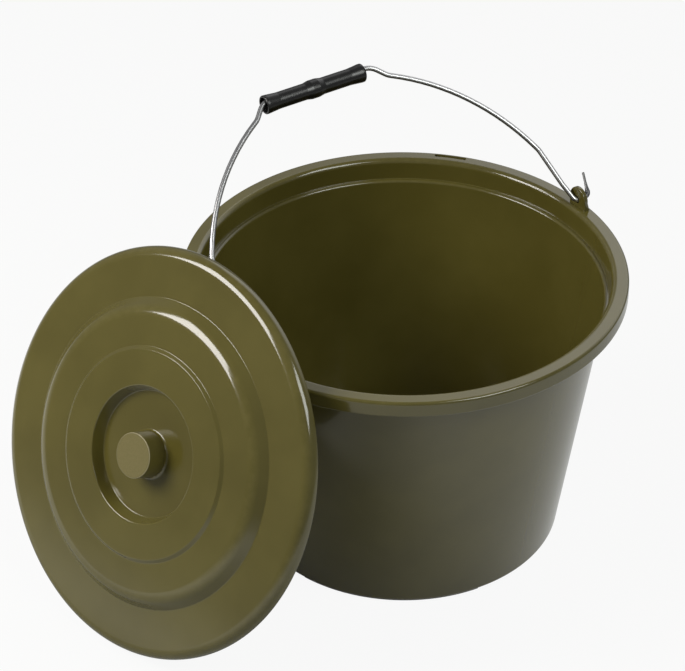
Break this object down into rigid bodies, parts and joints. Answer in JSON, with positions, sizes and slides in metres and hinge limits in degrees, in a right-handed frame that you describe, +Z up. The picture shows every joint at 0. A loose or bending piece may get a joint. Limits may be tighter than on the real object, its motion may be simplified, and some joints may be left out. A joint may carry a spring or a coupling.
{
  "type": "bucket with lid",
  "caption": "Round tapered bucket with a rolled rim, a wire bail with a loose grip that swings in moulded ears, and a stepped lid with a knob leaning beside it.",
  "frame": {"origin": "on the floor, under the middle of the bucket", "axes": "+Z up along the bucket's axis; -Y towards the viewer of the picture, +X to the viewer's right"},
  "size_m": [0.5232, 0.453, 0.3707],
  "materials": {
    "olive_plastic": "smooth moulded polypropylene, half gloss",
    "wire": "bright drawn wire",
    "grip_plastic": "smooth black plastic"
  },
  "bodies": {
    "bucket": {"bucket_shell": "olive_plastic"},
    "bail": {"bail_wire": "wire"},
    "grip": {"bail_grip": "grip_plastic"},
    "lid": {"lid": "olive_plastic"}
  },
  "joints": [
    {"name": "bail_swing", "type": "hinge", "parent": "bucket", "child": "bail", "pos_m": [0, 0, 0.256], "axis": [0.8271, 0.5621, 0], "range_deg": [-38.6, 140.1]},
    {"name": "grip_spin", "type": "hinge", "parent": "bail", "child": "grip", "pos_m": [-0.07916, 0.10403, 0.36253], "axis": [0.8271, 0.5621, 0], "continuous": true},
    {"name": "lid_lift_off", "type": "slide", "parent": "bucket", "child": "lid", "axis": [-0.627, -0.6607, 0.4128], "range_m": [0, 0.25]}
  ]
}
